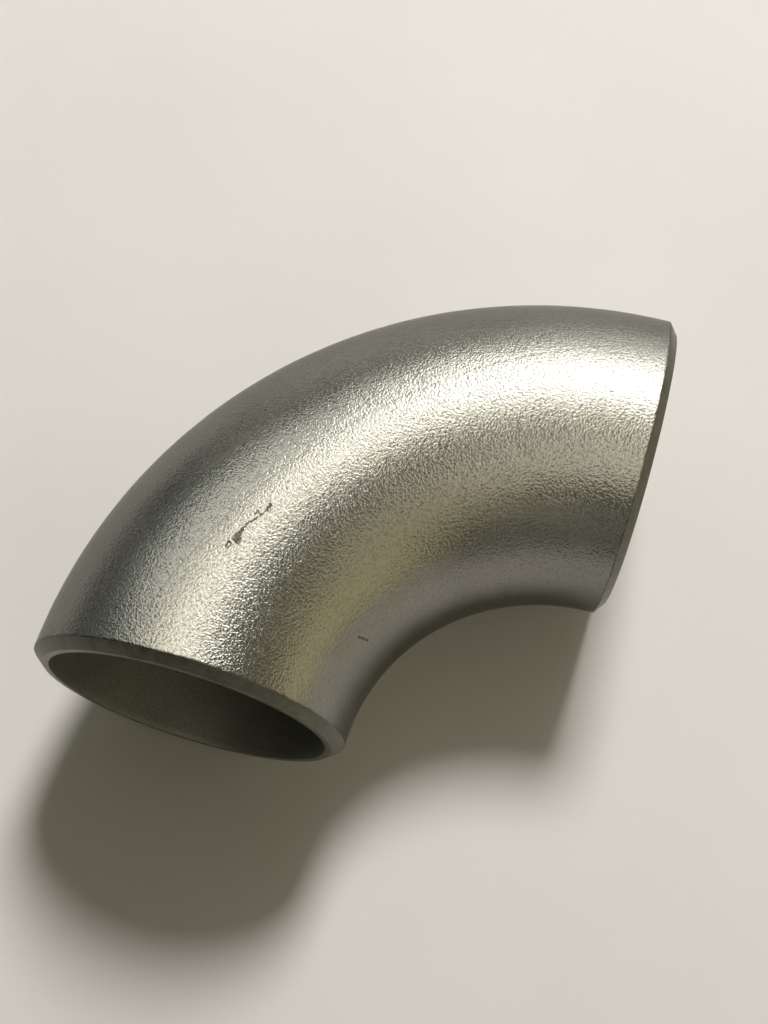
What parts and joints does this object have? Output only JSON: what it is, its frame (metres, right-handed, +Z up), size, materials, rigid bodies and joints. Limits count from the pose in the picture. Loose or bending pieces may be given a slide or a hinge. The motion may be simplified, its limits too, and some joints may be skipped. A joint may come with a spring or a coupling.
{
  "type": "butt-weld pipe elbow",
  "caption": "Long-radius right-angle pipe elbow for butt welding: a bent steel tube, open right through, with both ends bevelled down to a narrow flat root face.",
  "frame": {"origin": "on the surface that the elbow lies on, below the middle of its bounding box", "axes": "the elbow lies on its flank; +Z up, across the bend; port A's face looks along -Y and port B's face along +X; the inside of the bend is towards +X -Y"},
  "size_m": [0.0812, 0.0812, 0.0483],
  "materials": {
    "blasted_stainless": "stainless steel, shot blasted and pickled: satin with a fine peened grain; plain machined bevels"
  },
  "bodies": {
    "root": {"elbow_body": "blasted_stainless"}
  },
  "joints": []
}
